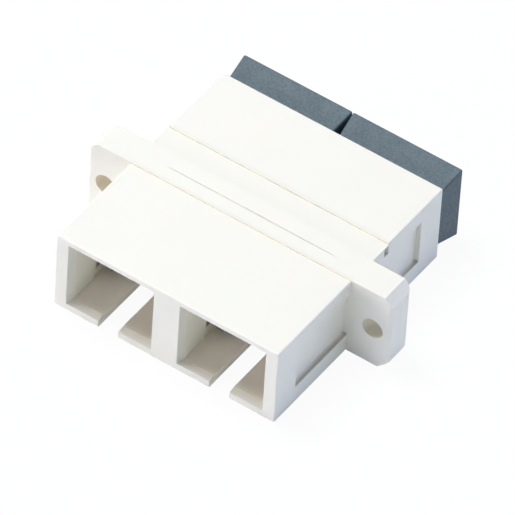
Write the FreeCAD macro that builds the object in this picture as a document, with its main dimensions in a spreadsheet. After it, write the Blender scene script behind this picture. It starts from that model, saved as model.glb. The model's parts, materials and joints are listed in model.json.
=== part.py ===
"""Duplex fibre adapter with push-pull ports, flanged for a panel.

The frame: X runs across the two ports, Y along the port axis from the open ports
towards the dust caps, Z up. The origin lies midway between the two screw holes, on
the flange face that seats against the panel. All sizes are in millimetres.
"""
import FreeCAD, Part
import os

import Sketcher

DIMENSIONS = [
    # Ports and the walls around them
    ("port_pitch", 12.7, "between the two port axes"),
    ("port_width", 9.1, "clear width of a port"),
    ("port_height", 7.4, "clear height of a port"),
    ("side_wall", 1.7, "outer wall beside the ports"),
    ("top_wall", 0.8, "wall above the ports"),
    ("bottom_wall", 1.0, "wall below the ports"),
    ("front_length", 11.8, "flange front face to the open mouths"),
    ("rear_length", 11.9, "flange rear face to the capped mouths"),
    ("edge_round", 0.15, "radius on the moulded outer edges"),
    ("mouth_flare", 0.35, "lead-in, outward on each side of a mouth"),
    ("mouth_rise", 0.2, "lead-in, above and below a mouth"),
    ("mouth_depth", 0.8, "lead-in, along the port"),
    # Flange
    ("flange_half", 1.65, "thickness of each shell's half of the flange"),
    ("flange_proud", 0.15, "flange above the top of the shells"),
    ("screw_offset", 2.7, "screw hole beyond the side of the shells"),
    ("screw_hole", 2.3, "diameter of each screw hole"),
    ("ear_end", 2.0, "ear beyond the middle of its screw hole"),
    ("ear_top_chamfer", 0.9, "upper corners of the ears"),
    ("ear_foot_chamfer", 1.2, "lower corners of the ears"),
    ("ear_edge", 0.25, "chamfer on the upright front edges of the ears"),
    ("ear_round", 0.7, "radius on the rear upright edges of the ears"),
    ("seam_length", 19.0, "open stretch of the seam along the top"),
    ("seam_middle", 4.0, "stretch of the seam that stands widest open"),
    ("seam_width", 0.1, "half of the open seam at its middle, taken from each shell"),
    ("seam_end", 0.03, "half of the open seam at its ends"),
    ("seam_depth", 0.5, "depth of the open seam"),
    # Keyways
    ("keyway_width", 2.3, "slot through the bottom wall of each port"),
    ("keyway_length", 9.0, "length of that slot from the mouth"),
    # Room beside the latch arms
    ("room_start", 4.1, "full-width end of each port, from its mouth"),
    ("room_depth", 0.2, "room beside the arms, into each side of the port"),
    # Side walls
    ("panel_recess", 0.5, "depth of the recess in each side wall"),
    ("panel_length", 8.5, "length of the recess from the flange"),
    ("panel_height", 5.4, "height of the recess"),
    ("panel_lift", 0.15, "middle of the recess above the middle of the shell"),
    # Seat of the spring clip on the rear shell
    ("clip_length", 2.9, "seat from the flange to its step"),
    ("clip_depth", 0.15, "step of the seat on the top face"),
    ("notch_length", 0.7, "corner notch, along the port"),
    ("notch_depth", 0.35, "corner notch, into the side wall"),
    ("notch_height", 1.1, "corner notch, its height"),
    ("notch_web", 0.1, "wall left between the seat and the notch"),
    # Latch inserts
    ("plate_thickness", 1.0, "base plate of an insert"),
    ("plate_shoulder", 0.35, "base plate beyond the port, each side"),
    ("seat_clearance", 0.05, "base plate in its seat"),
    ("holder_wall", 0.6, "wall of the sleeve holder tube"),
    ("lip_overlap", 0.15, "end lip over the sleeve, each side"),
    ("lip_thickness", 0.6, "end lip of the sleeve holder"),
    ("arm_thickness", 0.9, "latch arm"),
    ("arm_height", 5.1, "latch arm, across its width"),
    ("arm_length", 8.55, "latch arm, seam to tip"),
    ("arm_gap", 0.45, "latch arm clear of the port wall"),
    ("hook_depth", 0.75, "hook, inward from the arm"),
    ("hook_length", 0.6, "flat top of the hook"),
    ("hook_ramp", 1.1, "lead-in ramp of the hook"),
    # Alignment sleeves
    ("sleeve_outer", 3.2, "outer diameter"),
    ("sleeve_inner", 2.5, "bore for the 2.5 mm ferrules"),
    ("sleeve_length", 11.4, "length"),
    ("sleeve_slit", 0.4, "width of the lengthwise slit"),
    ("sleeve_float", 0.1, "radial and end clearance in the holder"),
    # Dust caps
    ("plug_side_gap", 0.1, "plug to port, each side"),
    ("plug_rise_gap", 0.2, "plug to port, above and below"),
    ("plug_arm_gap", 0.3, "plug tip to the latch arm tips"),
    ("plug_chamfer", 0.4, "lead-in of the plug"),
    ("rib_spacing", 5.2, "between the two grip ribs of a plug"),
    ("rib_width", 0.8, "grip rib"),
    ("rib_gap", 0.05, "grip rib to port, above and below"),
    ("cap_seat_gap", 0.03, "cap shoulder to the mouth face"),
    ("cap_wall", 0.9, "side walls of the plug"),
    ("cap_end_wall", 1.2, "closed end of the cap"),
    ("cap_depth", 3.45, "head, from the mouth face to its free end"),
    ("cap_end_height", 8.85, "head at its free end"),
    ("cap_root_gap", 0.85, "between the two heads at the mouth face"),
    ("cap_end_gap", 0.25, "between the two heads at the free end"),
    ("cap_round", 0.2, "radius on the edges of the head"),
]

# Sizes that follow from the driving ones
BODY_WIDTH = "(port_pitch + port_width + 2 * side_wall)"
BODY_HEIGHT = "(port_height + top_wall + bottom_wall)"
PORT_LIFT = "((bottom_wall - top_wall) / 2)"
SCREW_SPACING = "(%s + 2 * screw_offset)" % BODY_WIDTH
FLANGE_WIDTH = "(%s + 2 * ear_end)" % SCREW_SPACING

SHEET = "Dimensions"
TOLERANCE = 1.0e-4
OUT_FOLDER = "parts"


def spread_sheet(document):
    """Write the driving dimensions into a sheet, one row each, with an alias."""
    sheet = document.addObject("Spreadsheet::Sheet", SHEET)
    for row, (alias, value, note) in enumerate(DIMENSIONS, start=1):
        sheet.set("A%d" % row, alias)
        sheet.set("B%d" % row, str(value))
        sheet.set("C%d" % row, note)
        sheet.setAlias("B%d" % row, alias)
    document.recompute()
    return sheet


def bound(expression):
    """Turn a formula of plain aliases into one that reads them from the sheet."""
    text = expression
    aliases = sorted((row[0] for row in DIMENSIONS), key=len, reverse=True)
    for index, alias in enumerate(aliases):
        text = text.replace(alias, "{%d}" % index)
    return text.format(*["%s.%s" % (SHEET, alias) for alias in aliases])


class Piece:
    """One moulded or turned piece: a body, with short calls for its features."""

    def __init__(self, document, name):
        self.document = document
        self.body = document.addObject("PartDesign::Body", name)
        self.body.Label = name
        self.name = name

    def plane(self, role):
        """Return the origin plane of the body with the given role."""
        for feature in self.body.Origin.OriginFeatures:
            if feature.Role == role:
                return feature
        raise ValueError("no plane %s in %s" % (role, self.name))

    def sketch(self, name, role, x="0", y="0", z="0"):
        """Add a sketch parallel to an origin plane, moved by three formulas."""
        sketch = self.body.newObject("Sketcher::SketchObject", "%s_%s" % (self.name, name))
        sketch.AttachmentSupport = (self.plane(role), [""])
        sketch.MapMode = "FlatFace"
        for axis, formula in (("x", x), ("y", y), ("z", z)):
            if formula != "0":
                sketch.setExpression("AttachmentOffset.Base.%s" % axis, bound(formula))
        return sketch

    def rectangle(self, name, role, width, height, **place):
        """Add a sketch of a rectangle centred on the sketch origin."""
        sketch = self.sketch(name, role, **place)
        corners = [(-1, -1), (1, -1), (1, 1), (-1, 1)]
        for index, start in enumerate(corners):
            end = corners[(index + 1) % len(corners)]
            line = Part.LineSegment(FreeCAD.Vector(*start, 0), FreeCAD.Vector(*end, 0))
            sketch.addGeometry(line, False)
        for index in range(len(corners)):
            following = (index + 1) % len(corners)
            sketch.addConstraint(Sketcher.Constraint("Coincident", index, 2, following, 1))
        for index in (0, 2):
            sketch.addConstraint(Sketcher.Constraint("Horizontal", index))
        for index in (1, 3):
            sketch.addConstraint(Sketcher.Constraint("Vertical", index))
        sketch.addConstraint(Sketcher.Constraint("Symmetric", 0, 1, 1, 2, -1, 1))
        wide = sketch.addConstraint(Sketcher.Constraint("DistanceX", 0, 1, 0, 2, 2.0))
        tall = sketch.addConstraint(Sketcher.Constraint("DistanceY", 1, 1, 1, 2, 2.0))
        sketch.setExpression("Constraints[%d]" % wide, bound(width))
        sketch.setExpression("Constraints[%d]" % tall, bound(height))
        return sketch

    def circle(self, name, role, diameter, **place):
        """Add a sketch of a circle centred on the sketch origin."""
        sketch = self.sketch(name, role, **place)
        self.add_circle(sketch, diameter)
        return sketch

    def add_circle(self, sketch, diameter):
        """Add a circle about the origin of a sketch."""
        circle = Part.Circle(FreeCAD.Vector(0, 0, 0), FreeCAD.Vector(0, 0, 1), 1.0)
        index = sketch.addGeometry(circle, False)
        sketch.addConstraint(Sketcher.Constraint("Coincident", index, 3, -1, 1))
        size = sketch.addConstraint(Sketcher.Constraint("Diameter", index, 2.0))
        sketch.setExpression("Constraints[%d]" % size, bound(diameter))

    def outline(self, name, role, points, **place):
        """Add a closed sketch of straight lines through points given by formulas."""
        sketch = self.sketch(name, role, **place)
        self.document.recompute()
        values = [(self.value(across), self.value(up)) for across, up in points]
        for index, start in enumerate(values):
            end = values[(index + 1) % len(values)]
            line = Part.LineSegment(FreeCAD.Vector(*start, 0), FreeCAD.Vector(*end, 0))
            sketch.addGeometry(line, False)
        for index, (across, up) in enumerate(points):
            following = (index + 1) % len(points)
            sketch.addConstraint(Sketcher.Constraint("Coincident", index, 2, following, 1))
            for kind, formula in (("DistanceX", across), ("DistanceY", up)):
                self.pin(sketch, kind, index, formula)
        return sketch

    def pin(self, sketch, kind, index, formula):
        """Tie the start of a line to the sketch origin by a formula."""
        value = self.value(formula)
        if abs(value) < TOLERANCE:
            axis = -2 if kind == "DistanceX" else -1
            sketch.addConstraint(Sketcher.Constraint("PointOnObject", index, 1, axis))
            return
        order = (-1, 1, index, 1) if value > 0 else (index, 1, -1, 1)
        number = sketch.addConstraint(Sketcher.Constraint(kind, *order, abs(value)))
        sign = "" if value > 0 else "-"
        sketch.setExpression("Constraints[%d]" % number, "%s(%s)" % (sign, bound(formula)))

    def value(self, formula):
        """Work out a formula of aliases with the values now in the sheet."""
        sheet = self.document.getObject(SHEET)
        result = sheet.evalExpression(bound(formula))
        return float(getattr(result, "Value", result))

    def feature(self, kind, name, profile=None):
        """Add a feature to the body, hide its sketch and name it after the piece."""
        feature = self.body.newObject("PartDesign::%s" % kind, "%s_%s" % (self.name, name))
        if profile is not None:
            feature.Profile = profile
            profile.Visibility = False
        return feature

    def pad(self, name, profile, length, backward=False, both=False):
        """Add material along the normal of a sketch, or against it."""
        pad = self.feature("Pad", name, profile)
        pad.setExpression("Length", bound(length))
        pad.Reversed = backward
        if both:
            pad.SideType = "Symmetric"
        self.grow(pad, 1)
        return pad

    def pocket(self, name, profile, length, backward=False, both=False):
        """Remove material against the normal of a sketch, or along it."""
        pocket = self.feature("Pocket", name, profile)
        pocket.setExpression("Length", bound(length))
        pocket.Reversed = backward
        if both:
            pocket.SideType = "Symmetric"
        self.grow(pocket, -1)
        return pocket

    def loft(self, kind, name, first, second):
        """Join two sketches with straight sides, as added or removed material."""
        loft = self.feature(kind, name, first)
        loft.Sections = [second]
        loft.Ruled = True
        second.Visibility = False
        self.grow(loft, 1 if kind == "AdditiveLoft" else -1)
        return loft

    def mirror(self, name, originals):
        """Repeat features on the other side of the plane X = 0."""
        mirror = self.feature("Mirrored", name)
        mirror.Originals = originals
        mirror.MirrorPlane = (self.plane("YZ_Plane"), [""])
        self.body.Tip = mirror
        self.document.recompute()
        return mirror

    def dress(self, kind, name, size, chosen, size_name):
        """Round or chamfer the edges for which chosen(edge) holds."""
        base = self.body.Tip
        names = ["Edge%d" % (index + 1) for index, edge in enumerate(base.Shape.Edges) if chosen(edge)]
        if not names:
            raise ValueError("no edges for %s in %s" % (name, self.name))
        feature = self.feature(kind, name)
        feature.Base = (base, names)
        feature.setExpression(size_name, bound(size))
        self.document.recompute()
        return feature

    def fillet(self, name, size, chosen):
        """Round chosen edges."""
        return self.dress("Fillet", name, size, chosen, "Radius")

    def chamfer(self, name, size, chosen):
        """Chamfer chosen edges."""
        return self.dress("Chamfer", name, size, chosen, "Size")

    def grow(self, feature, sign):
        """Recompute, and see that a feature added or removed material."""
        base = feature.BaseFeature
        before = base.Shape.Volume if base is not None and not base.Shape.isNull() else 0.0
        self.document.recompute()
        change = feature.Shape.Volume - before
        if change * sign <= TOLERANCE:
            raise ValueError("%s changed the volume by %.4f" % (feature.Name, change))

    def place(self, x="0", y="0", z="0", half_turn=False):
        """Set the piece in the adapter by formulas, turned about Z if asked."""
        if half_turn:
            turn = FreeCAD.Rotation(FreeCAD.Vector(0, 0, 1), 180)
            self.body.Placement = FreeCAD.Placement(FreeCAD.Vector(0, 0, 0), turn)
        for axis, formula in (("x", x), ("y", y), ("z", z)):
            if formula != "0":
                self.body.setExpression("Placement.Base.%s" % axis, bound(formula))
        self.document.recompute()


def runs_along(edge, axis):
    """Say whether a straight edge runs along X, Y or Z, given as 0, 1 or 2."""
    start = edge.Vertexes[0].Point
    end = edge.Vertexes[-1].Point
    return abs(edge.Length - abs(start[axis] - end[axis])) < TOLERANCE


def lies_at(edge, axis, place):
    """Say whether the whole edge lies at one place along an axis."""
    return all(abs(vertex.Point[axis] - place) < TOLERANCE for vertex in edge.Vertexes)


def lies_at_side(edge, half_width):
    """Say whether the whole edge lies half a width to the left or right of X = 0."""
    return lies_at(edge, 0, half_width) or lies_at(edge, 0, -half_width)


def housing(document, name, front):
    """Mould one shell: a block with a half flange and two ports that run through it.

    The sketches lie parallel to the XZ plane, whose normal is -Y. The front shell
    grows along that normal from the seam, the rear shell against it.
    """
    piece = Piece(document, name)
    rear = not front
    length = "front_length" if front else "rear_length"
    toward = "" if front else "-"
    seam = "flange_half"
    face = "(flange_half + %s(flange_half + %s))" % ("" if front else "-", length)

    # The block and its moulded edges
    block = piece.rectangle("block_outline", "XZ_Plane", BODY_WIDTH, BODY_HEIGHT, z=seam)
    piece.pad("block", block, "flange_half + %s" % length, backward=rear)
    face_y = -piece.value(face)
    seam_y = -piece.value(seam)
    piece.fillet(
        "block_edges",
        "edge_round",
        lambda edge: runs_along(edge, 1) or lies_at(edge, 1, face_y),
    )

    # The half flange, with chamfered ears that are rounded at the outer face
    flange = piece.rectangle(
        "flange_outline",
        "XZ_Plane",
        FLANGE_WIDTH,
        "%s + flange_proud" % BODY_HEIGHT,
        y="flange_proud / 2",
        z=seam,
    )
    piece.pad("flange", flange, "flange_half", backward=rear)
    ear_x = piece.value("%s / 2" % FLANGE_WIDTH)
    for level, size, side in (("top", "ear_top_chamfer", 1), ("foot", "ear_foot_chamfer", -1)):
        piece.chamfer(
            "ear_%s" % level,
            size,
            lambda edge: runs_along(edge, 1)
            and lies_at_side(edge, ear_x)
            and edge.CenterOfMass[2] * side > 0,
        )
    outer_y = seam_y + (-1 if front else 1) * piece.value("flange_half")
    (piece.fillet if rear else piece.chamfer)(
        "ear_ends",
        "ear_round" if rear else "ear_edge",
        lambda edge: lies_at(edge, 1, outer_y) and lies_at_side(edge, ear_x),
    )

    # Port, the room beside its arms, its flared mouth, its keyway and the seat of the base plate
    axis = {"x": "port_pitch / 2", "y": PORT_LIFT}
    bore = piece.rectangle("port_outline", "XZ_Plane", "port_width", "port_height", z=seam, **axis)
    port = piece.pocket("port", bore, "flange_half + %s" % length, backward=front)
    room_outline = piece.rectangle(
        "room_outline", "XZ_Plane", "port_width + 2 * room_depth", "port_height", z=seam, **axis
    )
    room = piece.pocket("room", room_outline, "flange_half + %s - room_start" % length, backward=front)
    mouth = piece.rectangle(
        "mouth_outline",
        "XZ_Plane",
        "port_width + 2 * mouth_flare",
        "port_height + 2 * mouth_rise",
        z=face,
        **axis,
    )
    throat = piece.rectangle(
        "throat_outline",
        "XZ_Plane",
        "port_width",
        "port_height",
        z="%s - %s(mouth_depth)" % (face, toward),
        **axis,
    )
    flare = piece.loft("SubtractiveLoft", "mouth", mouth, throat)
    seat_outline = piece.rectangle(
        "seat_outline",
        "XZ_Plane",
        "port_width + 2 * (plate_shoulder + seat_clearance)",
        "port_height + 2 * (plate_shoulder + seat_clearance)",
        z=seam,
        **axis,
    )
    seat = piece.pocket("seat", seat_outline, "plate_thickness + seat_clearance", backward=front)
    keyway_outline = piece.rectangle(
        "keyway_outline",
        "XY_Plane",
        "keyway_width",
        "keyway_length",
        x="port_pitch / 2",
        y="-%s + %s(keyway_length / 2)" % (face, toward),
        z="-%s / 2" % BODY_HEIGHT,
    )
    keyway = piece.pocket("keyway", keyway_outline, "%s / 2 + %s" % (BODY_HEIGHT, PORT_LIFT), backward=True)

    # Recess in the side wall
    recess_outline = piece.rectangle(
        "recess_outline",
        "YZ_Plane",
        "panel_length",
        "panel_height",
        x="-(flange_half + %s(flange_half + panel_length / 2))" % toward,
        y="panel_lift",
        z="%s / 2" % BODY_WIDTH,
    )
    recess = piece.pocket("recess", recess_outline, "panel_recess")

    # Screw hole through the ear
    hole_outline = piece.circle(
        "screw_outline", "XZ_Plane", "screw_hole", x="%s / 2" % SCREW_SPACING, z=seam
    )
    hole = piece.pocket("screw", hole_outline, "flange_half", backward=front)
    repeated = [port, room, flare, seat, keyway, recess, hole]

    # Corner notch of the clip seat, on the rear shell only
    if rear:
        notch_outline = piece.rectangle(
            "notch_outline",
            "YZ_Plane",
            "notch_length",
            "notch_height",
            x="clip_length - notch_length / 2",
            y="%s / 2 - clip_depth - notch_web - notch_height / 2" % BODY_HEIGHT,
            z="%s / 2" % BODY_WIDTH,
        )
        repeated.append(piece.pocket("notch", notch_outline, "notch_depth"))
    piece.mirror("other_side", repeated)

    # Stepped clip seat on the top face, and the open stretch of the seam
    if rear:
        clip_outline = piece.rectangle(
            "clip_outline",
            "XY_Plane",
            BODY_WIDTH,
            "clip_length",
            y="clip_length / 2",
            z="%s / 2" % BODY_HEIGHT,
        )
        piece.pocket("clip_seat", clip_outline, "clip_depth")
    meeting = "-flange_half"
    seam_profile = [("seam_length / 2", "seam_end"), ("seam_middle / 2", "seam_width")]
    opened = [(across, "%s - %s%s" % (meeting, toward, width)) for across, width in seam_profile]
    half = [("seam_length / 2", meeting)] + opened
    seam_outline = piece.outline(
        "seam_outline",
        "XY_Plane",
        half + [("-(%s)" % across, up) for across, up in reversed(half)],
        z="%s / 2 + flange_proud" % BODY_HEIGHT,
    )
    piece.pocket("seam", seam_outline, "seam_depth")
    return piece.body


def latch_insert(document, name, side, half_turn):
    """Mould one latch insert: base plate, sleeve holder tube and two hooked arms.

    It is drawn about its port axis with the seam at Y = 0 and its arms towards -Y,
    then set in its port, turned half round about Z for the rear shell.
    """
    piece = Piece(document, name)

    # Base plate, which the two shells clamp at the seam
    plate = piece.rectangle(
        "plate_outline",
        "XZ_Plane",
        "port_width + 2 * plate_shoulder",
        "port_height + 2 * plate_shoulder",
    )
    piece.pad("plate", plate, "plate_thickness")

    # Sleeve holder tube: a solid rod, then the sleeve's bore and the lip's mouth
    rod = piece.circle(
        "rod_outline", "XZ_Plane", "sleeve_outer + 2 * sleeve_float + 2 * holder_wall"
    )
    reach = "sleeve_length / 2 + sleeve_float"
    piece.pad("rod", rod, "%s + lip_thickness" % reach)
    bore = piece.circle("bore_outline", "XZ_Plane", "sleeve_outer + 2 * sleeve_float")
    piece.pocket("bore", bore, reach, backward=True)
    lip = piece.circle("lip_outline", "XZ_Plane", "sleeve_outer - 2 * lip_overlap")
    piece.pocket("lip", lip, "%s + lip_thickness" % reach, backward=True)

    # One hooked arm, drawn in plan and carried across its height, then its twin
    outer = "port_width / 2 - arm_gap"
    inner = "%s - arm_thickness" % outer
    hook = "%s - hook_depth" % inner
    ramp_end = "-(arm_length - hook_ramp)"
    points = [
        (outer, "-plate_thickness / 2"),
        (outer, "-(arm_length - arm_thickness / 3)"),
        ("%s - arm_thickness / 3" % outer, "-arm_length"),
        (inner, "-arm_length"),
        (hook, ramp_end),
        (hook, "%s + hook_length" % ramp_end),
        (inner, "%s + hook_length" % ramp_end),
        (inner, "-plate_thickness / 2"),
    ]
    arm_outline = piece.outline("arm_outline", "XY_Plane", points)
    arm = piece.pad("arm", arm_outline, "arm_height", both=True)
    piece.mirror("other_arm", [arm])
    piece.place(
        x="%sport_pitch / 2" % side,
        y="-flange_half",
        z=PORT_LIFT,
        half_turn=half_turn,
    )
    return piece.body


def alignment_sleeve(document, name, side):
    """Form one split sleeve, which floats in the two holder tubes of its port."""
    piece = Piece(document, name)
    ring = piece.circle("ring_outline", "XZ_Plane", "sleeve_outer")
    piece.add_circle(ring, "sleeve_inner")
    piece.pad("ring", ring, "sleeve_length", both=True)
    slit = piece.rectangle("slit_outline", "XY_Plane", "sleeve_slit", "sleeve_length")
    piece.pocket("slit", slit, "sleeve_outer", backward=True)
    piece.place(x="%sport_pitch / 2" % side, y="-flange_half", z=PORT_LIFT)
    return piece.body


def dust_cap(document, name, side):
    """Mould one dust cap: a flared head on a hollow plug that fills the port.

    It is drawn about the middle of its port with the mouth face at Y = 0.
    """
    piece = Piece(document, name)
    plug_width = "port_width - 2 * plug_side_gap"
    plug_height = "port_height - 2 * plug_rise_gap"
    plug_length = "flange_half + rear_length - arm_length - plug_arm_gap"

    # Head, flaring from the shoulder to its free end in height and in width
    root_half = "(port_pitch - cap_root_gap) / 2"
    end_half = "(port_pitch - cap_end_gap) / 2"
    profile = piece.outline(
        "head_outline",
        "YZ_Plane",
        [
            ("cap_seat_gap", "%s - (%s) / 2" % (PORT_LIFT, plug_height)),
            ("cap_depth", "-cap_end_height / 2"),
            ("cap_depth", "cap_end_height / 2"),
            ("cap_seat_gap", "%s + (%s) / 2" % (PORT_LIFT, plug_height)),
        ],
    )
    piece.pad("head", profile, "2 * %s" % end_half, both=True)
    wedge = piece.outline(
        "taper_outline",
        "XY_Plane",
        [(root_half, "cap_seat_gap"), (end_half, "cap_seat_gap"), (end_half, "cap_depth")],
    )
    taper = piece.pocket("taper", wedge, "2 * cap_end_height", both=True)
    piece.mirror("other_taper", [taper])
    third_y = piece.value("cap_depth / 3")
    piece.fillet("head_edges", "cap_round", lambda edge: edge.CenterOfMass[1] > third_y)

    # Plug with its grip ribs, and the hollow that runs from its tip to the closed end
    plug = piece.rectangle(
        "plug_outline", "XZ_Plane", plug_width, plug_height, y=PORT_LIFT, z="-cap_seat_gap"
    )
    piece.pad("plug", plug, "%s + cap_seat_gap" % plug_length)
    tip_y = -piece.value(plug_length)
    piece.chamfer("plug_tip", "plug_chamfer", lambda edge: lies_at(edge, 1, tip_y))
    rib_outline = piece.rectangle(
        "rib_outline",
        "XZ_Plane",
        "rib_width",
        "port_height - 2 * rib_gap",
        x="rib_spacing / 2",
        y=PORT_LIFT,
        z="mouth_depth",
    )
    rib = piece.pad("rib", rib_outline, "%s - mouth_depth - 2 * plug_chamfer" % plug_length)
    piece.mirror("other_rib", [rib])
    hollow = piece.rectangle(
        "hollow_outline",
        "XZ_Plane",
        "%s - 2 * cap_wall" % plug_width,
        "%s - 2 * cap_wall" % plug_height,
        y=PORT_LIFT,
        z=plug_length,
    )
    piece.pocket("hollow", hollow, "%s + cap_depth - cap_end_wall" % plug_length)
    piece.place(x="%sport_pitch / 2" % side, y="rear_length")
    return piece.body


def check(document, bodies):
    """Stop if any object failed or any piece is not a valid solid."""
    for item in document.Objects:
        if "Invalid" in item.State or "Error" in item.State:
            raise RuntimeError("%s failed: %s" % (item.Name, item.State))
    for body in bodies:
        shape = body.Shape
        if shape.isNull() or not shape.isValid() or not shape.Solids:
            raise RuntimeError("%s is not a valid solid" % body.Label)


def build():
    """Make the document, every piece and the files of the pieces."""
    document = FreeCAD.newDocument("duplex_adapter")
    spread_sheet(document)
    bodies = [
        housing(document, "front_housing", front=True),
        housing(document, "rear_housing", front=False),
    ]
    for word, side in (("left", "-"), ("right", "")):
        bodies.append(latch_insert(document, "latch_insert_%s_front" % word, side, False))
        bodies.append(latch_insert(document, "latch_insert_%s_rear" % word, side, True))
        bodies.append(alignment_sleeve(document, "alignment_sleeve_%s" % word, side))
        bodies.append(dust_cap(document, "dust_cap_%s" % word, side))
    document.recompute()
    check(document, bodies)
    os.makedirs(OUT_FOLDER, exist_ok=True)
    for body in bodies:
        body.Shape.exportStep(os.path.join(OUT_FOLDER, "%s.step" % body.Label))
        print(body.Label, "volume %.3f mm3" % body.Shape.Volume)


build()
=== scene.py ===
"""Looks of a duplex fibre adapter: cream plastic shells, latch inserts, ceramic sleeves, slate dust caps.

Every piece is in metres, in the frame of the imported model: X across the two ports, Y from the
open ports to the dust caps, Z up, and the origin on the flange face between the two screw holes.
Each piece is its solid's own mesh with every outer edge broken, in a moulded or ground finish.
"""
import json
import logging
import math
from dataclasses import dataclass
from enum import Enum

import bmesh
import bpy
import numpy as np
from mathutils import Matrix, Vector


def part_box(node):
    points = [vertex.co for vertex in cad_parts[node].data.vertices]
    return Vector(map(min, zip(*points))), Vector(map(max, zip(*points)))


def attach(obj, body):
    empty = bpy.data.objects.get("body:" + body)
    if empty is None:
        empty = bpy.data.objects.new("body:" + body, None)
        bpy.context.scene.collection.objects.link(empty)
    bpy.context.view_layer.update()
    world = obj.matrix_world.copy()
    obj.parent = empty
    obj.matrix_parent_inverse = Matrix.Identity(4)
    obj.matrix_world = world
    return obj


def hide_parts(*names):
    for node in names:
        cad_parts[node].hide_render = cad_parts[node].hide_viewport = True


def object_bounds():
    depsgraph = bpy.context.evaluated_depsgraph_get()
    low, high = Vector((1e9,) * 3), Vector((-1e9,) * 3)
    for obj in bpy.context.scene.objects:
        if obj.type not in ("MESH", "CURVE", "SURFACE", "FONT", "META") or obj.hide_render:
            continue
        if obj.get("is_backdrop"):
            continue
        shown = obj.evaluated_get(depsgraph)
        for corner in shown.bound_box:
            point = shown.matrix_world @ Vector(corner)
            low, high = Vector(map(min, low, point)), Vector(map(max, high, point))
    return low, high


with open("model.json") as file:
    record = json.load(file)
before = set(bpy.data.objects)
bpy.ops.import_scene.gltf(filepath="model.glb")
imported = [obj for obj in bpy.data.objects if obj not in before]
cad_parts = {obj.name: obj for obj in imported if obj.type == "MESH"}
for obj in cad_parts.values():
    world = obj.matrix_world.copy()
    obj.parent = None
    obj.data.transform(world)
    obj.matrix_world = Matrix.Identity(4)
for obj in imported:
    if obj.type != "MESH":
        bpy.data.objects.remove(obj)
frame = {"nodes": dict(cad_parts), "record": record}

LOG = logging.getLogger("adapter")
MM = 0.001
MATRIX_SIZE = 4
Colour = tuple[float, float, float]
Point = tuple[float, float, float]
Box = tuple[Point, Point]


def read(items: bpy.types.bpy_prop_collection, field: str, width: int, kind: type = float) -> np.ndarray:
    """Read one field of many mesh elements at once.

    Args:
        items: Vertices, loops or polygons.
        field: The name of the field.
        width: Numbers in the field.
        kind: Type of the numbers.

    Returns:
        One row for each element.
    """
    values = np.zeros(len(items) * width, dtype=np.float32 if kind is float else np.int32)
    items.foreach_get(field, values)
    return values.reshape(-1, width)


@dataclass(frozen=True)
class Landmarks:
    """Places that tints and edges are set out from."""

    port: float
    screw: float
    front_mouth: float
    arm_tip: float
    seam: float
    rear_mouth: float
    top: float

    @classmethod
    def from_frame(cls) -> "Landmarks":
        """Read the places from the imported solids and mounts.

        Returns:
            X of the right port and of the right screw hole, Y of the open mouths, of the front
            latch arms' tips, of the seam and of the capped mouths, and Z of the flange's top.
        """
        mounts = {mount["name"]: mount for mount in frame["record"]["mounts"]}
        front_low, front_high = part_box("front_housing")
        return cls(
            port=mounts["ferrule_right"]["pos_m"][0],
            screw=mounts["panel_screws"]["dims"]["spacing_x_mm"] / 2.0 * MM,
            front_mouth=front_low.y,
            arm_tip=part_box("latch_insert_left_front")[0].y,
            seam=front_high.y,
            rear_mouth=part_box("rear_housing")[1].y,
            top=front_high.z,
        )


MARKS = Landmarks.from_frame()


class Pattern(Enum):
    """What leaves a surface its grain."""

    MOULDED = "moulded"
    GROUND = "ground"


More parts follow.
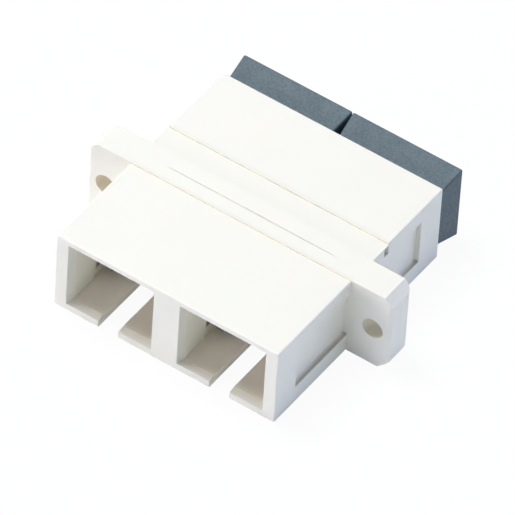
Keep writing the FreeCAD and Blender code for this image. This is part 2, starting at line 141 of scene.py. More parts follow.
class Nodes:
    """Short calls for building one node tree."""

    def __init__(self, tree: bpy.types.NodeTree) -> None:
        """Start with an empty tree.

        Args:
            tree: The node tree of a material or a group.
        """
        self.tree = tree
        self.tree.nodes.clear()

    @classmethod
    def group(cls, name: str, inputs: dict[str, str], outputs: dict[str, str]) -> "Nodes":
        """Start a node group with its sockets.

        Args:
            name: The group's name.
            inputs: Each input's name, with the kind of its socket.
            outputs: Each output's name, with the kind of its socket.

        Returns:
            The group's own nodes.
        """
        tree = bpy.data.node_groups.new(name, "ShaderNodeTree")
        for way, sockets in (("INPUT", inputs), ("OUTPUT", outputs)):
            for socket, kind in sockets.items():
                tree.interface.new_socket(socket, in_out=way, socket_type="NodeSocket%s" % kind)
        return cls(tree)

    def add(self, kind: str, **settings: object) -> bpy.types.Node:
        """Add a node and set its properties.

        Args:
            kind: The node's type name.
            **settings: Values for the node's own properties.

        Returns:
            The new node.
        """
        node = self.tree.nodes.new(kind)
        for name, value in settings.items():
            setattr(node, name, value)
        return node

    def link(self, source: bpy.types.NodeSocket, target: bpy.types.NodeSocket) -> None:
        """Join an output to an input."""
        self.tree.links.new(source, target)

    def scaled(self, scale: Point) -> bpy.types.NodeSocket:
        """Give the object's own coordinates, stretched.

        Args:
            scale: Factors along X, Y and Z, in cells for each metre.

        Returns:
            The vector to feed a texture with.
        """
        place = self.add("ShaderNodeTexCoord")
        mapping = self.add("ShaderNodeMapping", vector_type="POINT")
        mapping.inputs["Scale"].default_value = scale
        self.link(place.outputs["Object"], mapping.inputs["Vector"])
        return mapping.outputs["Vector"]

    def noise(self, vector: bpy.types.NodeSocket, detail: float, roughness: float) -> bpy.types.NodeSocket:
        """Add a noise texture with cells of one unit.

        Args:
            vector: Where it is read.
            detail: Number of octaves.
            roughness: How much the fine octaves count.

        Returns:
            The noise value, about 0.5 on average.
        """
        noise = self.add("ShaderNodeTexNoise")
        noise.inputs["Scale"].default_value = 1.0
        noise.inputs["Detail"].default_value = detail
        noise.inputs["Roughness"].default_value = roughness
        self.link(vector, noise.inputs["Vector"])
        return noise.outputs["Fac"]

    def feed(self, node: bpy.types.Node, values: tuple[object, ...]) -> None:
        """Give a node its first inputs.

        Args:
            node: The node.
            values: Sockets to link, or plain values to set.
        """
        for index, value in enumerate(values):
            if isinstance(value, bpy.types.NodeSocket):
                self.link(value, node.inputs[index])
            else:
                node.inputs[index].default_value = value

    def vector(self, operation: str, *values: object) -> bpy.types.NodeSocket:
        """Add a vector math node.

        Args:
            operation: The name of the operation.
            *values: Sockets or vectors.

        Returns:
            The resulting vector.
        """
        node = self.add("ShaderNodeVectorMath", operation=operation)
        self.feed(node, values)
        return node.outputs["Vector"]

    def times(self, vector: bpy.types.NodeSocket, factor: bpy.types.NodeSocket) -> bpy.types.NodeSocket:
        """Multiply a vector by a number.

        Args:
            vector: The vector.
            factor: The number.

        Returns:
            The resulting vector.
        """
        node = self.add("ShaderNodeVectorMath", operation="SCALE")
        self.link(vector, node.inputs["Vector"])
        self.link(factor, node.inputs["Scale"])
        return node.outputs["Vector"]

    def math(self, operation: str, *values: object) -> bpy.types.NodeSocket:
        """Add a math node.

        Args:
            operation: The name of the operation.
            *values: Sockets or numbers.

        Returns:
            The result.
        """
        node = self.add("ShaderNodeMath", operation=operation)
        self.feed(node, values)
        return node.outputs["Value"]


def moulded_skin() -> bpy.types.NodeTree:
    """Build the group that varies a moulded surface: soft flow clouds under a fine grain.

    The cloud is noise about a millimetre or more across, and the grain is noise a few tenths of
    a millimetre across or less. Colour is the base times one plus both, roughness is its base
    plus the cloud, and height is the grain alone.

    Returns:
        The node group, built once.
    """
    name = "moulded_skin"
    found = bpy.data.node_groups.get(name)
    if found is not None:
        return found
    nodes = Nodes.group(
        name,
        inputs={
            "Base": "Color",
            "Roughness": "Float",
            "Cloud": "Float",
            "Grain": "Float",
            "Cloud Vector": "Vector",
            "Grain Vector": "Vector",
        },
        outputs={"Colour": "Color", "Roughness": "Float", "Height": "Float"},
    )
    given = nodes.add("NodeGroupInput").outputs
    result = nodes.add("NodeGroupOutput").inputs
    cloud = nodes.noise(given["Cloud Vector"], detail=2.0, roughness=0.5)
    grain = nodes.noise(given["Grain Vector"], detail=3.0, roughness=0.6)
    mean = 0.5
    cloud_part = nodes.math("MULTIPLY", nodes.math("SUBTRACT", cloud, mean), given["Cloud"])
    grain_part = nodes.math("MULTIPLY", nodes.math("SUBTRACT", grain, mean), given["Grain"])
    factor = nodes.math("ADD", nodes.math("ADD", cloud_part, grain_part), 1.0)
    nodes.link(nodes.times(given["Base"], factor), result["Colour"])
    nodes.link(nodes.math("ADD", given["Roughness"], cloud_part), result["Roughness"])
    nodes.link(grain, result["Height"])
    return nodes.tree


def painted_light_tint() -> bpy.types.NodeTree:
    """Build the group that paints light and shade into a surface's colour where it lies in one box, left
    and right alike.

    Each coordinate's distance from the box's centre less the box's half size is negative inside,
    and X counts without its sign. The mask is the greatest of the three, turned round and over
    the softness, held between nothing and one. The colour is the base times one plus the mask
    times the tint less one.

    Returns:
        The node group, built once.
    """
    name = "painted_light_tint"
    found = bpy.data.node_groups.get(name)
    if found is not None:
        return found
    nodes = Nodes.group(
        name,
        inputs={
            "Base": "Color",
            "Place": "Vector",
            "Centre": "Vector",
            "Half": "Vector",
            "Tint": "Vector",
            "Softness": "Float",
        },
        outputs={"Colour": "Color"},
    )
    given = nodes.add("NodeGroupInput").outputs
    result = nodes.add("NodeGroupOutput").inputs
    place = nodes.add("ShaderNodeSeparateXYZ")
    nodes.link(given["Place"], place.inputs["Vector"])
    mirrored = nodes.add("ShaderNodeCombineXYZ")
    nodes.link(nodes.math("ABSOLUTE", place.outputs["X"]), mirrored.inputs["X"])
    nodes.link(place.outputs["Y"], mirrored.inputs["Y"])
    nodes.link(place.outputs["Z"], mirrored.inputs["Z"])
    away = nodes.vector("ABSOLUTE", nodes.vector("SUBTRACT", mirrored.outputs["Vector"], given["Centre"]))
    over = nodes.add("ShaderNodeSeparateXYZ")
    nodes.link(nodes.vector("SUBTRACT", away, given["Half"]), over.inputs["Vector"])
    level = nodes.math("MAXIMUM", over.outputs["X"], over.outputs["Y"])
    farthest = nodes.math("MAXIMUM", level, over.outputs["Z"])
    depth = nodes.math("DIVIDE", nodes.math("MULTIPLY", farthest, -1.0), given["Softness"])
    mask = nodes.math("MINIMUM", nodes.math("MAXIMUM", depth, 0.0), 1.0)
    white = (1.0, 1.0, 1.0)
    factor = nodes.vector("ADD", nodes.times(nodes.vector("SUBTRACT", given["Tint"], white), mask), white)
    nodes.link(nodes.vector("MULTIPLY", given["Base"], factor), result["Colour"])
    return nodes.tree


@dataclass(frozen=True)
class PaintedLightBox:
    """One box, left and right alike, where light and shade are painted into a surface's colour."""

    centre: Point
    half: Point
    tint: Colour
    softness: float

    @classmethod
    def between(cls, low: Point, high: Point, tint: Colour, softness: float) -> "PaintedLightBox":
        """Set out a box from its lowest and highest corners.

        Args:
            low: The lowest corner, on the right side.
            high: The highest corner, on the right side.
            tint: Factors on the colour, below one for painted shade and above one for painted light.
            softness: How far inside the box's faces the tint is full.

        Returns:
            The box.
        """
        first = Vector(low)
        last = Vector(high)
        return cls(tuple((first + last) / 2.0), tuple((last - first) / 2.0), tint, softness)

    def add(
        self, nodes: Nodes, base: bpy.types.NodeSocket, place: bpy.types.NodeSocket
    ) -> bpy.types.NodeSocket:
        """Paint this box's tint, which stands in for light and shade, into a colour.

        Args:
            nodes: The material's nodes.
            base: The colour so far.
            place: The point on the piece.

        Returns:
            The colour with this box's tint.
        """
        group = nodes.add("ShaderNodeGroup", node_tree=painted_light_tint())
        group.inputs["Centre"].default_value = self.centre
        group.inputs["Half"].default_value = self.half
        group.inputs["Tint"].default_value = self.tint
        group.inputs["Softness"].default_value = self.softness
        nodes.link(base, group.inputs["Base"])
        nodes.link(place, group.inputs["Place"])
        return group.outputs["Colour"]


@dataclass(frozen=True)
class ShellPaintedLight:
    """Boxes on the two shells where light and shade are painted into the plastic's colour: lighter and
    warmer in the ports and screw holes, darker in the lead-ins, beside the latch arms, along the steps on
    top and along the recesses' lower edges.
    """

    box_half: float = 5.3 * MM
    floor: float = -3.6 * MM
    ceiling: float = 3.8 * MM
    margin: float = 0.1 * MM
    inset: float = 0.6 * MM
    # Painted bounced light: the ports' walls and ceilings a little warmer.
    wall_painted_light: Colour = (1.02, 1.01, 0.99)
    floor_reach: float = 0.4 * MM
    # Painted bounced light: the ports' floors lighter and warmer.
    floor_painted_light: Colour = (1.08, 1.04, 1.0)
    mouth_half: Point = (5.4 * MM, 0.38 * MM, 4.1 * MM)
    mouth_middle: float = 0.42 * MM
    # Painted shade on the ports' lead-ins.
    mouth_painted_shade: Colour = (0.88, 0.88, 0.87)
    outer_gap: Point = (4.85 * MM, 0.0, -2.35 * MM)
    inner_gap: Point = (-4.85 * MM, -0.1 * MM, -2.2 * MM)
    gap_half: Point = (0.5 * MM, 0.45 * MM, 0.5 * MM)
    # Painted shade beside the tips of the front latch arms.
    gap_painted_shade: Colour = (0.3, 0.27, 0.25)
    gap_softness: float = 0.3 * MM
    screw_half: Point = (1.4 * MM, 1.62 * MM, 1.4 * MM)
    # Painted warm bounced light inside the screw holes.
    screw_painted_light: Colour = (1.04, 1.0, 0.92)
    flange_step: Point = (0.0, -3.2 * MM, 4.7 * MM)
    # Painted shade along the foot of the flange's step on top.
    flange_step_painted_shade: Colour = (0.95, 0.94, 0.92)
    seat_step: Point = (0.0, 3.05 * MM, 4.55 * MM)
    # Painted shade along the foot of the step behind the flange.
    seat_step_painted_shade: Colour = (0.96, 0.955, 0.93)
    step_half: Point = (12.8 * MM, 0.3 * MM, 0.4 * MM)
    step_softness: float = 0.25 * MM
    ledge: tuple[float, float] = (12.39 * MM, -2.55 * MM)
    ledge_half: Point = (0.2 * MM, 10.3 * MM, 0.25 * MM)
    # Painted shade along the recesses' lower edges.
    ledge_painted_shade: Colour = (0.7, 0.68, 0.65)
    ledge_softness: float = 0.12 * MM
    sharp: float = 0.05 * MM
    soft: float = 0.1 * MM

    def boxes(self) -> tuple[PaintedLightBox, ...]:
        """Set out all the boxes.

        Returns:
            The ports first, then the screw holes, the two steps on top and the side recesses.
        """
        screw = (MARKS.screw, MARKS.seam, 0.0)
        return (
            self.walls(),
            self.floors(),
            self.mouths(),
            self.latch_gap(self.outer_gap),
            self.latch_gap(self.inner_gap),
            # Painted warm light in the screw holes, then painted shade along the two steps on top.
            PaintedLightBox(screw, self.screw_half, self.screw_painted_light, self.soft),
            PaintedLightBox(self.flange_step, self.step_half, self.flange_step_painted_shade, self.step_softness),
            PaintedLightBox(self.seat_step, self.step_half, self.seat_step_painted_shade, self.step_softness),
            self.ledges(),
        )

    def walls(self) -> PaintedLightBox:
        """Paint warmer bounced light on the walls and ceilings of the ports, inward of their mouths.

        Returns:
            The box, through both shells.
        """
        first = MARKS.front_mouth + self.inset
        last = MARKS.rear_mouth - self.inset
        low = (MARKS.port - self.box_half, first, self.floor + self.margin)
        high = (MARKS.port + self.box_half, last, self.ceiling + self.margin)
        return PaintedLightBox.between(low, high, self.wall_painted_light, self.soft)

    def floors(self) -> PaintedLightBox:
        """Paint lighter, warmer bounced light on the floors of the open ports and the top of the keyways'
        sides.

        Returns:
            The box, from just inside the mouth to the seam.
        """
        first = MARKS.front_mouth + self.inset
        low = (MARKS.port - self.box_half, first, self.floor - self.floor_reach)
        high = (MARKS.port + self.box_half, MARKS.seam, self.floor + self.margin)
        return PaintedLightBox.between(low, high, self.floor_painted_light, self.sharp)

    def mouths(self) -> PaintedLightBox:
        """Darken the lead-ins of the open ports with painted shade."""
        centre = (MARKS.port, MARKS.front_mouth + self.mouth_middle, 0.0)
        return PaintedLightBox(centre, self.mouth_half, self.mouth_painted_shade, self.sharp)

    def latch_gap(self, offset: Point) -> PaintedLightBox:
        """Paint a dark patch of shade on the wall beside the tip of a front latch arm.

        Args:
            offset: From the port's middle, level with the tips, to the middle of the gap.

        Returns:
            The box.
        """
        centre = Vector((MARKS.port, MARKS.arm_tip, 0.0)) + Vector(offset)
        return PaintedLightBox(tuple(centre), self.gap_half, self.gap_painted_shade, self.gap_softness)

    def ledges(self) -> PaintedLightBox:
        """Paint shade along the lower edges of the recesses in the side walls."""
        across, height = self.ledge
        return PaintedLightBox((across, MARKS.seam, height), self.ledge_half, self.ledge_painted_shade, self.ledge_softness)


@dataclass(frozen=True)
class InsertPaintedShade:
    """The box on the front latch inserts where shade is painted on the lower corners of the arms' tips."""

    behind_tip: float = 0.25 * MM
    height: float = -2.35 * MM
    half: Point = (4.5 * MM, 0.6 * MM, 0.45 * MM)
    # Painted shade on the lower corners of the arms' tips.
    tint: Colour = (0.28, 0.27, 0.25)
    softness: float = 0.15 * MM

    def boxes(self) -> tuple[PaintedLightBox, ...]:
        """Set out the one box, across both arms of a port."""
        centre = (MARKS.port, MARKS.arm_tip + self.behind_tip, self.height)
        return (PaintedLightBox(centre, self.half, self.tint, self.softness),)


@dataclass(frozen=True)
class Finish:
    """One finish: its colour, how rough it is, the relief of its surface, and the boxes of light and shade
    painted into its colour.
    """

    name: str
    colour: Colour
    roughness: float
    pattern: Pattern
    cloud: float
    grain: float
    cloud_size: float
    grain_size: float
    relief: float
    glow: float = 0.0
    glow_depth: float = 0.3 * MM
    flow_length: float = 2.0
    ground_width: float = 8.0
    painted_light_boxes: tuple[PaintedLightBox, ...] = ()

    def material(self) -> bpy.types.Material:
        """Build the material, once.

        Returns:
            The material with its nodes.
        """
        found = bpy.data.materials.get(self.name)
        if found is not None:
            return found
        material = bpy.data.materials.new(self.name)
        material.use_nodes = True
        nodes = Nodes(material.node_tree)
        shader = nodes.add("ShaderNodeBsdfPrincipled")
        output = nodes.add("ShaderNodeOutputMaterial")
        skin = nodes.add("ShaderNodeGroup", node_tree=moulded_skin())
        skin.inputs["Base"].default_value = (*self.colour, 1.0)
        skin.inputs["Roughness"].default_value = self.roughness
        skin.inputs["Cloud"].default_value = self.cloud
        skin.inputs["Grain"].default_value = self.grain
        nodes.link(nodes.scaled(self.cloud_scale()), skin.inputs["Cloud Vector"])
        nodes.link(nodes.scaled(self.grain_scale()), skin.inputs["Grain Vector"])
        bump = nodes.add("ShaderNodeBump")
        bump.inputs["Distance"].default_value = self.relief
        nodes.link(skin.outputs["Height"], bump.inputs["Height"])
        nodes.link(self.tinted(nodes, skin.outputs["Colour"]), shader.inputs["Base Color"])
        nodes.link(skin.outputs["Roughness"], shader.inputs["Roughness"])
        nodes.link(bump.outputs["Normal"], shader.inputs["Normal"])
        shader.inputs["Subsurface Weight"].default_value = self.glow
        shader.inputs["Subsurface Scale"].default_value = self.glow_depth
        nodes.link(shader.outputs["BSDF"], output.inputs["Surface"])
        return material

    def tinted(self, nodes: Nodes, colour: bpy.types.NodeSocket) -> bpy.types.NodeSocket:
        """Paint the tint of each of the finish's boxes, which stands in for light and shade, into a
        colour.

        Args:
            nodes: The material's nodes.
            colour: The colour of the skin.

        Returns:
            The colour with every tint.
        """
        if not self.painted_light_boxes:
            return colour
        place = nodes.scaled((1.0, 1.0, 1.0))
        for painted_box in self.painted_light_boxes:
            colour = painted_box.add(nodes, colour, place)
        return colour

    def cloud_scale(self) -> Point:
        """Draw the clouds out along the port axis, the way the plastic flowed."""
        across = 1.0 / self.cloud_size
        return (across, across / self.flow_length, across)

    def grain_scale(self) -> Point:
        """Keep the grain even, or draw it out round a ground tube."""
        across = 1.0 / self.grain_size
        if self.pattern is Pattern.GROUND:
            return (across / self.ground_width, across, across / self.ground_width)
        return (across, across, across)


CREAM = Finish(
    name="housing_cream",
    colour=(0.9, 0.862, 0.775),
    roughness=0.5,
    pattern=Pattern.MOULDED,
    cloud=0.03,
    grain=0.02,
    cloud_size=4.0 * MM,
    grain_size=0.12 * MM,
    relief=0.004 * MM,
    glow=0.1,
    # Painted light and shade on the shells: ports, screw holes, steps and recess ledges.
    painted_light_boxes=ShellPaintedLight().boxes(),
)
IVORY = Finish(
    name="insert_ivory",
    colour=(0.84, 0.8, 0.72),
    roughness=0.42,
    pattern=Pattern.MOULDED,
    cloud=0.03,
    grain=0.02,
    cloud_size=3.0 * MM,
    grain_size=0.1 * MM,
    relief=0.003 * MM,
    glow=0.1,
    # Painted shade on the latch arms' tips.
    painted_light_boxes=InsertPaintedShade().boxes(),
)
CERAMIC = Finish(
    name="sleeve_ceramic",
    colour=(0.92, 0.92, 0.9),
    roughness=0.18,
    pattern=Pattern.GROUND,
    cloud=0.02,
    grain=0.03,
    cloud_size=2.0 * MM,
    grain_size=0.05 * MM,
    relief=0.001 * MM,
    glow=0.15,
)
SLATE = Finish(
    name="cap_slate",
    colour=(0.078, 0.115, 0.139),
    roughness=0.6,
    pattern=Pattern.MOULDED,
    cloud=0.3,
    grain=1.5,
    cloud_size=0.9 * MM,
    grain_size=0.22 * MM,
    relief=0.03 * MM,
)


@dataclass
class Softened:
    """A moulded piece with its true edges: the solid's own faces, every outer edge broken."""

    node: str
    slot: str
    body: str
    finish: Finish
    edge: float = 0.12 * MM
    segments: int = 3
    weld: float = 0.0005 * MM
    flat_angle: float = math.radians(0.5)
    sharp_angle: float = math.radians(25.0)
    narrow_share: float = 0.25
    largest_only: int = 100
    fine_place: Box | None = None
    fine_share: float = 0.1

    def build(self) -> bpy.types.Object:
        """Copy the solid's mesh, merge it, clear its flat faces and break its edges.

        Returns:
            The finished piece, riding on its body in place of the solid.
        """
        name = "%s_moulded" % self.node
        mesh = frame["nodes"][self.node].data.copy()
        mesh.name = name
        self.merge(mesh)
        self.adjust(mesh)
        self.weigh_edges(mesh)
        piece = bpy.data.objects.new(name, mesh)
        bpy.context.scene.collection.objects.link(piece)
        bevel = piece.modifiers.new("edges", "BEVEL")
        bevel.width = self.edge
        bevel.segments = self.segments
        bevel.limit_method = "WEIGHT"
        level = piece.modifiers.new("flat_faces", "WEIGHTED_NORMAL")
        level.weight = self.largest_only
        level.keep_sharp = True
        mesh.materials.clear()
        mesh.materials.append(self.finish.material())
        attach(piece, self.body)
        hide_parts(self.node)
        LOG.info("%s: %d faces", name, len(mesh.polygons))
        return piece

    def merge(self, mesh: bpy.types.Mesh) -> None:
        """Join the loose triangles and dissolve what is flat.

        Args:
            mesh: The copy of the solid's mesh, changed in place.
        """
        shape = bmesh.new()
        shape.from_mesh(mesh)
        bmesh.ops.remove_doubles(shape, verts=shape.verts, dist=self.weld)
        bmesh.ops.dissolve_limit(
            shape,
            angle_limit=self.flat_angle,
            verts=shape.verts,
            edges=shape.edges,
            use_dissolve_boundaries=False,
        )
        for face in shape.faces:
            face.smooth = True
        shape.to_mesh(mesh)
        shape.free()
        mesh.set_sharp_from_angle(angle=self.sharp_angle)

    def adjust(self, mesh: bpy.types.Mesh) -> None:
        """Leave the merged mesh as it is; a piece with more to it does more here."""

    def in_fine_place(self, points: np.ndarray) -> np.ndarray:
        """Tell which points lie where a groove or a gap is narrower than the break.

        Args:
            points: One point a row.

        Returns:
            True for each point in the fine place.
        """
        if self.fine_place is None:
            return np.zeros(len(points), dtype=bool)
        low, high = self.fine_place
        return np.all((points > low) & (points < high), axis=1)

    def weigh_edges(self, mesh: bpy.types.Mesh) -> None:
        """Say how far each edge is broken.

        An edge is an outer one where the inward way across its second face points below its first
        face. The weight is one on sharp outer edges and nothing on the rest. Beside a narrow face
        it shrinks, so that the break takes no more than a share of the face's mean width, which
        is twice its area over its girth. It also shrinks in the fine place.

        Args:
            mesh: The merged mesh, which gets the weights.
        """
        points = read(mesh.vertices, "co", 3)
        normals = read(mesh.polygons, "normal", 3)
        areas = read(mesh.polygons, "area", 1)[:, 0]
        totals = read(mesh.polygons, "loop_total", 1, int)[:, 0]
        firsts = read(mesh.polygons, "loop_start", 1, int)[:, 0]
        starts = read(mesh.loops, "vertex_index", 1, int)[:, 0]
        edges = read(mesh.loops, "edge_index", 1, int)[:, 0]
        owners = np.repeat(np.arange(len(totals)), totals)
        following = np.arange(len(starts)) + 1
        following[firsts + totals - 1] = firsts
        ways = points[starts[following]] - points[starts]
        lengths = np.linalg.norm(ways, axis=1)
        girths = np.bincount(owners, weights=lengths)
        widths = 2.0 * areas / girths
        pairs = np.argsort(edges, kind="stable").reshape(-1, 2)
        first, second = owners[pairs[:, 0]], owners[pairs[:, 1]]
        across = np.cross(normals[second], ways[pairs[:, 1]] / lengths[pairs[:, 1], None])
        below = np.einsum("ij,ij->i", across, normals[first]) < 0.0
        turn = np.einsum("ij,ij->i", normals[first], normals[second])
        outer = below & (turn < math.cos(self.sharp_angle))
        room = self.narrow_share * np.minimum(widths[first], widths[second]) / self.edge
        weights = np.where(outer, np.minimum(room, 1.0), 0.0)
        middles = (points[starts] + points[starts[following]])[pairs[:, 0]] / 2.0
        weights[self.in_fine_place(middles)] *= self.fine_share
        layer = mesh.attributes.new("bevel_weight_edge", "FLOAT", "EDGE")
        layer.data.foreach_set("value", weights.astype(np.float32))


@dataclass
class Shell(Softened):
    """One of the two shells, with half of the open seam along the top of the flange."""

    fine_place: Box = ((-12.0 * MM, -2.0 * MM, 4.0 * MM), (12.0 * MM, -1.3 * MM, 5.0 * MM))
    seam_depth: float = 0.5 * MM
    seam_reach: float = 9.5 * MM
    seam_middle: float = 2.0 * MM
    middle_depth: float = 0.15 * MM
    end_depth: float = 0.02 * MM
    match: float = 0.02 * MM

    def adjust(self, mesh: bpy.types.Mesh) -> None:
        """Lift the seam's floor, where the plastic of both shells has run together.

        The depth is that of the middle up to the middle's half length, and falls in line with X
        to that of the ends.

        Args:
            mesh: The merged mesh, changed in place.
        """
        points = read(mesh.vertices, "co", 3)
        floor = MARKS.top - self.seam_depth
        seam = self.in_fine_place(points) & (np.abs(points[:, 2] - floor) < self.match)
        past_middle = np.abs(points[:, 0]) - self.seam_middle
        out = np.clip(past_middle / (self.seam_reach - self.seam_middle), 0.0, 1.0)
        depth = self.middle_depth + (self.end_depth - self.middle_depth) * out
        points[seam, 2] = MARKS.top - depth[seam]
        mesh.vertices.foreach_set("co", points.ravel())
        mesh.update()


@dataclass
class Cap(Softened):
    """One dust cap, whose head almost meets its twin's at the free end."""

    fine_place: Box = ((-0.9 * MM, 11.0 * MM, -6.0 * MM), (0.9 * MM, 16.0 * MM, 6.0 * MM))
    fine_share: float = 0.3
    lean: float = 0.11 * MM

    def adjust(self, mesh: bpy.types.Mesh) -> None:
        """Lean the head's inner side towards the other cap's, to the narrow gap of the photograph.

        The shift along X grows in line with Y, from nothing at the mouth face to the lean at the
        free end.

        Args:
            mesh: The merged mesh, changed in place.
        """
        points = read(mesh.vertices, "co", 3)
        inner = self.in_fine_place(points)
        reach = points[:, 1].max() - MARKS.rear_mouth
        share = np.clip((points[:, 1] - MARKS.rear_mouth) / reach, 0.0, 1.0)
        points[inner, 0] -= np.sign(points[inner, 0]) * self.lean * share[inner]
        mesh.vertices.foreach_set("co", points.ravel())
        mesh.update()


@dataclass(frozen=True)
class Lamp:
    """One soft round lamp, aimed at the piece."""

    name: str
    place: Point
    size: float
    power: float
    colour: Colour

    def build(self) -> None:
        """Hang the lamp."""
        data = bpy.data.lights.new(self.name, "AREA")
        data.shape = "DISK"
        data.size = self.size
        data.energy = self.power
        data.color = self.colour
        lamp = bpy.data.objects.new(self.name, data)
        lamp.location = self.place
        lamp.rotation_euler = (-Vector(self.place)).to_track_quat("-Z", "Y").to_euler()
        bpy.context.scene.collection.objects.link(lamp)


OVERHEAD = Lamp("overhead", place=(-0.3, 0.0, 0.74), size=0.4, power=5.75, colour=(0.99, 1.01, 0.98))
LEFT_FRONT = Lamp("left_front", place=(-0.8, -1.36, 0.3), size=0.8, power=6.7, colour=(1.02, 1.0, 0.98))
FRONT = Lamp("front", place=(-0.15, -1.5, 0.25), size=0.8, power=4.85, colour=(0.87, 0.88, 1.24))
LOW_RIGHT = Lamp("low_right", place=(1.2, -0.9, 0.06), size=0.8, power=1.95, colour=(0.82, 1.15, 1.04))


@dataclass
class Studio:
    """Plain studio: pale floor, white surroundings and soft lamps."""

    floor_size: float = 2.0
    floor_colour: Colour = (0.9, 0.92, 0.94)
    floor_white: float = 0.94
    floor_gap: float = 0.02 * MM
    sky_colour: Colour = (0.556, 0.667, 1.0)
    sky_strength: float = 1.53
    sky_way: Point = (0.55, 0.81, 0.2)
    lamps: tuple[Lamp, ...] = (OVERHEAD, LEFT_FRONT, FRONT, LOW_RIGHT)

    def build(self) -> None:
        """Make the floor, the surroundings and the lamps."""
        self.build_floor()
        self.build_world()
        for lamp in self.lamps:
            lamp.build()
        settings = bpy.context.scene.view_settings
        settings.view_transform = "Standard"

    def build_floor(self) -> None:
        """Lay the floor a hair under the piece's underside."""
        low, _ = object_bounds()
        half = self.floor_size / 2.0
        square = np.array([(-half, -half), (half, -half), (half, half), (-half, half)])
        points = np.column_stack([square, np.full(len(square), low[2] - self.floor_gap)])
        mesh = bpy.data.meshes.new("floor")
        mesh.from_pydata(points.tolist(), [], [tuple(range(len(square)))])
        floor = bpy.data.objects.new("floor", mesh)
        bpy.context.scene.collection.objects.link(floor)
        mesh.materials.append(self.floor_material())
        floor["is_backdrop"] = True

    def floor_material(self) -> bpy.types.Material:
        """Build the floor: a diffuse pale sheet that mostly shows white, and clear from below.

        Returns:
            The material.
        """
        material = bpy.data.materials.new("floor_pale")
        material.use_nodes = True
        nodes = Nodes(material.node_tree)
        output = nodes.add("ShaderNodeOutputMaterial")
        sheet = nodes.add("ShaderNodeBsdfDiffuse")
        sheet.inputs["Color"].default_value = (*self.floor_colour, 1.0)
        white = nodes.add("ShaderNodeEmission")
        share = nodes.math("MULTIPLY", self.seen_directly(nodes), self.floor_white)
        mix = nodes.add("ShaderNodeMixShader")
        nodes.link(share, mix.inputs["Fac"])
        nodes.link(sheet.outputs["BSDF"], mix.inputs[1])
        nodes.link(white.outputs["Emission"], mix.inputs[2])
        sided = nodes.add("ShaderNodeMixShader")
        nodes.link(nodes.add("ShaderNodeNewGeometry").outputs["Backfacing"], sided.inputs["Fac"])
        nodes.link(mix.outputs["Shader"], sided.inputs[1])
        nodes.link(nodes.add("ShaderNodeBsdfTransparent").outputs["BSDF"], sided.inputs[2])
        nodes.link(sided.outputs["Shader"], output.inputs["Surface"])
        return material

    def seen_directly(self, nodes: Nodes) -> bpy.types.NodeSocket:
        """Tell the rays that show the background: from the camera, mirrored or through glass.

        Args:
            nodes: The tree to add to.

        Returns:
            One for such a ray, otherwise zero.
        """
        path = nodes.add("ShaderNodeLightPath").outputs
        either = nodes.math("MAXIMUM", path["Is Camera Ray"], path["Is Glossy Ray"])
        return nodes.math("MAXIMUM", either, path["Is Transmission Ray"])

    def build_world(self) -> None:
        """Light the surroundings coolly from beyond the caps and the right, and show white behind.

        The strength is the square of the ray's direction dotted with the sky's way, and nothing
        where that is negative.
        """
        world = bpy.data.worlds.new("surroundings")
        world.use_nodes = True
        nodes = Nodes(world.node_tree)
        output = nodes.add("ShaderNodeOutputWorld")
        way = nodes.add("ShaderNodeVectorMath", operation="DOT_PRODUCT")
        nodes.link(nodes.add("ShaderNodeTexCoord").outputs["Generated"], way.inputs[0])
        way.inputs[1].default_value = self.sky_way
        ahead = nodes.math("MAXIMUM", way.outputs["Value"], 0.0)
        light = nodes.add("ShaderNodeBackground")
        light.inputs["Color"].default_value = (*self.sky_colour, 1.0)
        strength = nodes.math("MULTIPLY", nodes.math("MULTIPLY", ahead, ahead), self.sky_strength)
        nodes.link(strength, light.inputs["Strength"])
        white = nodes.add("ShaderNodeBackground")
        white.inputs["Color"].default_value = (1.0, 1.0, 1.0, 1.0)
        mix = nodes.add("ShaderNodeMixShader")
        nodes.link(self.seen_directly(nodes), mix.inputs["Fac"])
        nodes.link(light.outputs["Background"], mix.inputs[1])
        nodes.link(white.outputs["Background"], mix.inputs[2])
        nodes.link(mix.outputs["Shader"], output.inputs["Surface"])
        bpy.context.scene.world = world


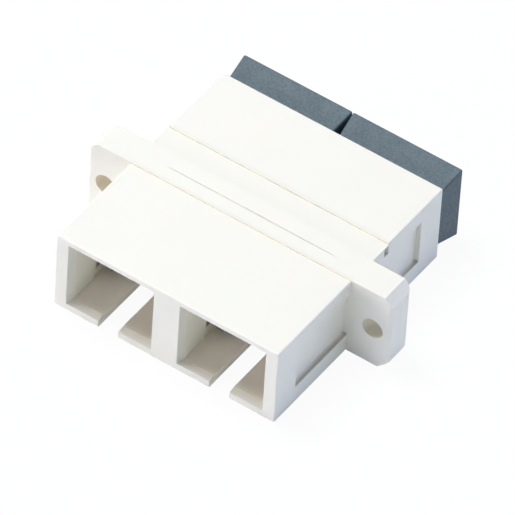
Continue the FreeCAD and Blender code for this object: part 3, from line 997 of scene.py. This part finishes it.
@dataclass
class Camera:
    """The photograph's view: from the front, the right and above, with a long lens."""

    target: Point = (1.154 * MM, -1.711 * MM, -0.74 * MM)
    azimuth: float = math.radians(32.17)
    elevation: float = math.radians(46.05)
    roll: float = math.radians(3.92)
    distance: float = 924.14 * MM
    sensor: float = 36.0
    lens: float = 689.0
    near: float = 0.05
    far: float = 10.0

    def build(self) -> None:
        """Set up the camera and make it the scene's own."""
        data = bpy.data.cameras.new("view")
        data.sensor_width = self.sensor
        data.lens = self.lens
        data.clip_start = self.near
        data.clip_end = self.far
        camera = bpy.data.objects.new("view", data)
        camera.matrix_world = self.placement()
        bpy.context.scene.collection.objects.link(camera)
        bpy.context.scene.camera = camera

    def placement(self) -> Matrix:
        """Work out where the camera stands.

        It starts above the target, looking down with the ports' far side up. It is then tipped
        up to its elevation, turned about the vertical by its azimuth, and rolled.

        Returns:
            The camera's matrix.
        """
        tip = Matrix.Rotation(math.pi / 2.0 - self.elevation, MATRIX_SIZE, "X")
        turn = Matrix.Rotation(self.azimuth, MATRIX_SIZE, "Z")
        lean = Matrix.Rotation(self.roll, MATRIX_SIZE, "Z")
        back = Matrix.Translation(Vector((0.0, 0.0, self.distance)))
        return Matrix.Translation(Vector(self.target)) @ turn @ tip @ lean @ back


@dataclass
class Adapter:
    """The whole adapter, sub-assembly by sub-assembly."""

    sides: tuple[str, str] = ("left", "right")
    ends: tuple[str, str] = ("front", "rear")
    inner_edge: float = 0.04 * MM

    def housing(self) -> list[Softened]:
        """List the two shells."""
        return [Shell("%s_housing" % end, "housing", "adapter", CREAM) for end in self.ends]

    def port(self, side: str) -> list[Softened]:
        """List what one port holds.

        Args:
            side: The port's side.

        Returns:
            Its dust cap, its two latch inserts and its sleeve.
        """
        cap = Cap("dust_cap_%s" % side, "cap", "%s_cap" % side, SLATE)
        inserts = [
            Softened("latch_insert_%s_%s" % (side, end), "insert", "adapter", IVORY, edge=self.inner_edge)
            for end in self.ends
        ]
        sleeve = Softened("alignment_sleeve_%s" % side, "sleeve", "adapter", CERAMIC, edge=self.inner_edge)
        return [cap, *inserts, sleeve]

    def build(self) -> list[bpy.types.Object]:
        """Build every piece.

        Returns:
            The finished pieces, from the outside in.
        """
        parts = self.housing()
        for side in self.sides:
            parts.extend(self.port(side))
        return [part.build() for part in parts]


def main() -> None:
    """Build the view, the studio and the adapter, and log each piece's face count."""
    logging.basicConfig(level=logging.INFO, format="%(name)s: %(message)s")
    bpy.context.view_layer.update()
    Camera().build()
    Studio().build()
    Adapter().build()


if __name__ == "__main__":
    main()
